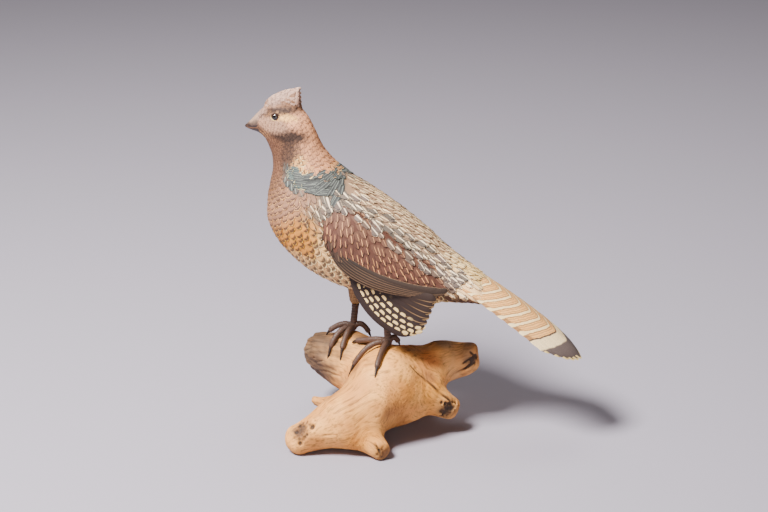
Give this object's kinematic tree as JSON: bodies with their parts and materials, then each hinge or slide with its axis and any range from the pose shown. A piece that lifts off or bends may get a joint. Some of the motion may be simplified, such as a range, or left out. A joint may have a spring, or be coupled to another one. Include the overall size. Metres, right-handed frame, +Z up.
{
  "type": "grouse carving",
  "caption": "Life-size carved and painted ruffed grouse with crest, hanging wing tips and narrow fan tail, standing on a branching piece of weathered driftwood.",
  "frame": {"origin": "middle of the bounding box's underside, on the surface that the driftwood stands on", "axes": "the bird looks along -X, its right side is towards +Y, and +Z is up"},
  "size_m": [0.3788, 0.19, 0.38],
  "materials": {
    "painted_wood": "carved feathers, painted in matt browns, cream and grey",
    "eye_glass": "polished dark glass",
    "painted_leg": "carved scales, satin brown paint",
    "driftwood": "smooth weathered wood with a dull sheen"
  },
  "bodies": {
    "root": {"grouse_carving": "painted_wood", "left_eye": "eye_glass", "right_eye": "eye_glass", "left_leg": "painted_leg", "right_leg": "painted_leg", "driftwood": "driftwood"}
  },
  "joints": []
}
